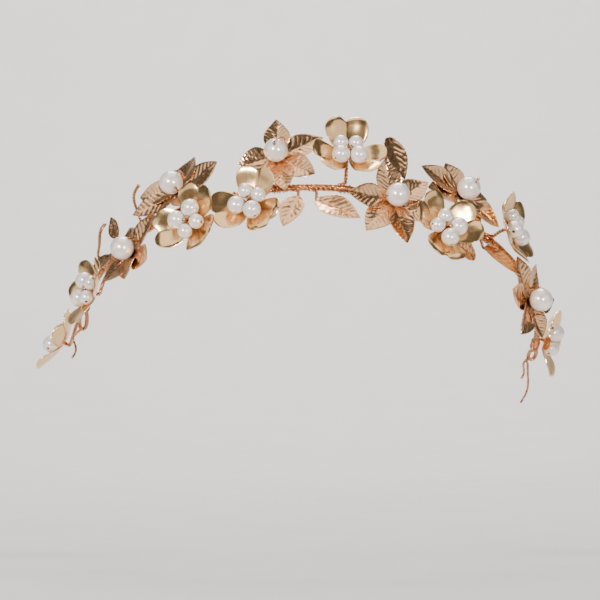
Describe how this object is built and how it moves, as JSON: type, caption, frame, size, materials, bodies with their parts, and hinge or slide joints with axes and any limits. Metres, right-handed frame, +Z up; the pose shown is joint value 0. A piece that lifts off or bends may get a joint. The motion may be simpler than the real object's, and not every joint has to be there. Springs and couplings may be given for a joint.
{
  "type": "bridal tiara",
  "caption": "Arched twisted-wire hair vine with pressed-metal flowers, veined leaves and wired pearl beads, narrow pinning loops at both ends.",
  "frame": {"origin": "centre of the stem's arc, in the middle of the head that wears it", "axes": "+Z up as worn, -Y towards the face's side, +X towards the wearer's left, along the span"},
  "size_m": [0.1865, 0.1028, 0.1004],
  "materials": {
    "petal_gold": "polished light gold plate",
    "leaf_gold": "polished rose gold plate",
    "copper_wire": "bright copper wire",
    "pearl": "pearl lacquer"
  },
  "bodies": {
    "root": {"binding_wraps": "copper_wire", "cluster_1_pearls": "pearl", "cluster_1_petals": "petal_gold", "cluster_1_wire": "copper_wire", "cluster_2_pearls": "pearl", "cluster_2_petals": "petal_gold", "cluster_2_wire": "copper_wire", "cluster_3_pearls": "pearl", "cluster_3_petals": "petal_gold", "cluster_3_wire": "copper_wire", "cluster_4_pearls": "pearl", "cluster_4_petals": "petal_gold", "cluster_4_wire": "copper_wire", "cluster_5_pearls": "pearl", "cluster_5_petals": "petal_gold", "cluster_5_wire": "copper_wire", "cluster_6_pearls": "pearl", "cluster_6_petals": "petal_gold", "cluster_6_wire": "copper_wire", "cluster_7_pearls": "pearl", "cluster_7_petals": "petal_gold", "cluster_7_wire": "copper_wire", "cluster_8_pearls": "pearl", "cluster_8_petals": "petal_gold", "cluster_8_wire": "copper_wire", "leaf_1": "leaf_gold", "leaf_2": "leaf_gold", "leaf_3": "leaf_gold", "leaf_4": "leaf_gold", "leaf_5": "leaf_gold", "leaf_6": "leaf_gold", "leaf_7": "leaf_gold", "leaf_stalks": "copper_wire", "left_end_loop": "copper_wire", "right_end_loop": "copper_wire", "star_1_leaves": "leaf_gold", "star_1_wire": "copper_wire", "star_2_leaves": "leaf_gold", "star_2_wire": "copper_wire", "star_3_leaves": "leaf_gold", "star_3_wire": "copper_wire", "star_4_leaves": "leaf_gold", "star_4_wire": "copper_wire", "star_5_leaves": "leaf_gold", "star_5_wire": "copper_wire", "star_6_leaves": "leaf_gold", "star_6_wire": "copper_wire", "stem_core": "copper_wire", "tails": "copper_wire", "tendrils": "copper_wire"},
    "star_1_pearl": {"star_1_pearl": "pearl"},
    "star_2_pearl": {"star_2_pearl": "pearl"},
    "star_3_pearl": {"star_3_pearl": "pearl"},
    "star_4_pearl": {"star_4_pearl": "pearl"},
    "star_5_pearl": {"star_5_pearl": "pearl"},
    "star_6_pearl": {"star_6_pearl": "pearl"}
  },
  "joints": [
    {"name": "star_1_pearl_spin", "type": "hinge", "parent": "root", "child": "star_1_pearl", "pos_m": [-0.0632, -0.05208, 0.0294], "axis": [0.629, -0.2891, 0.7217], "continuous": true},
    {"name": "star_2_pearl_spin", "type": "hinge", "parent": "root", "child": "star_2_pearl", "pos_m": [-0.04664, -0.05475, 0.05121], "axis": [-0.4231, 0.7611, 0.4916], "continuous": true},
    {"name": "star_3_pearl_spin", "type": "hinge", "parent": "root", "child": "star_3_pearl", "pos_m": [-0.0116, -0.06214, 0.06167], "axis": [-0.131, -0.8592, 0.4946], "continuous": true},
    {"name": "star_4_pearl_spin", "type": "hinge", "parent": "root", "child": "star_4_pearl", "pos_m": [0.02869, -0.06863, 0.04673], "axis": [0.9074, 0.4054, 0.1107], "continuous": true},
    {"name": "star_5_pearl_spin", "type": "hinge", "parent": "root", "child": "star_5_pearl", "pos_m": [0.05305, -0.04997, 0.04957], "axis": [0.6046, -0.6277, 0.4904], "continuous": true},
    {"name": "star_6_pearl_spin", "type": "hinge", "parent": "root", "child": "star_6_pearl", "pos_m": [0.07783, -0.04259, 0.01205], "axis": [-0.1418, 0.1291, 0.9814], "continuous": true}
  ]
}
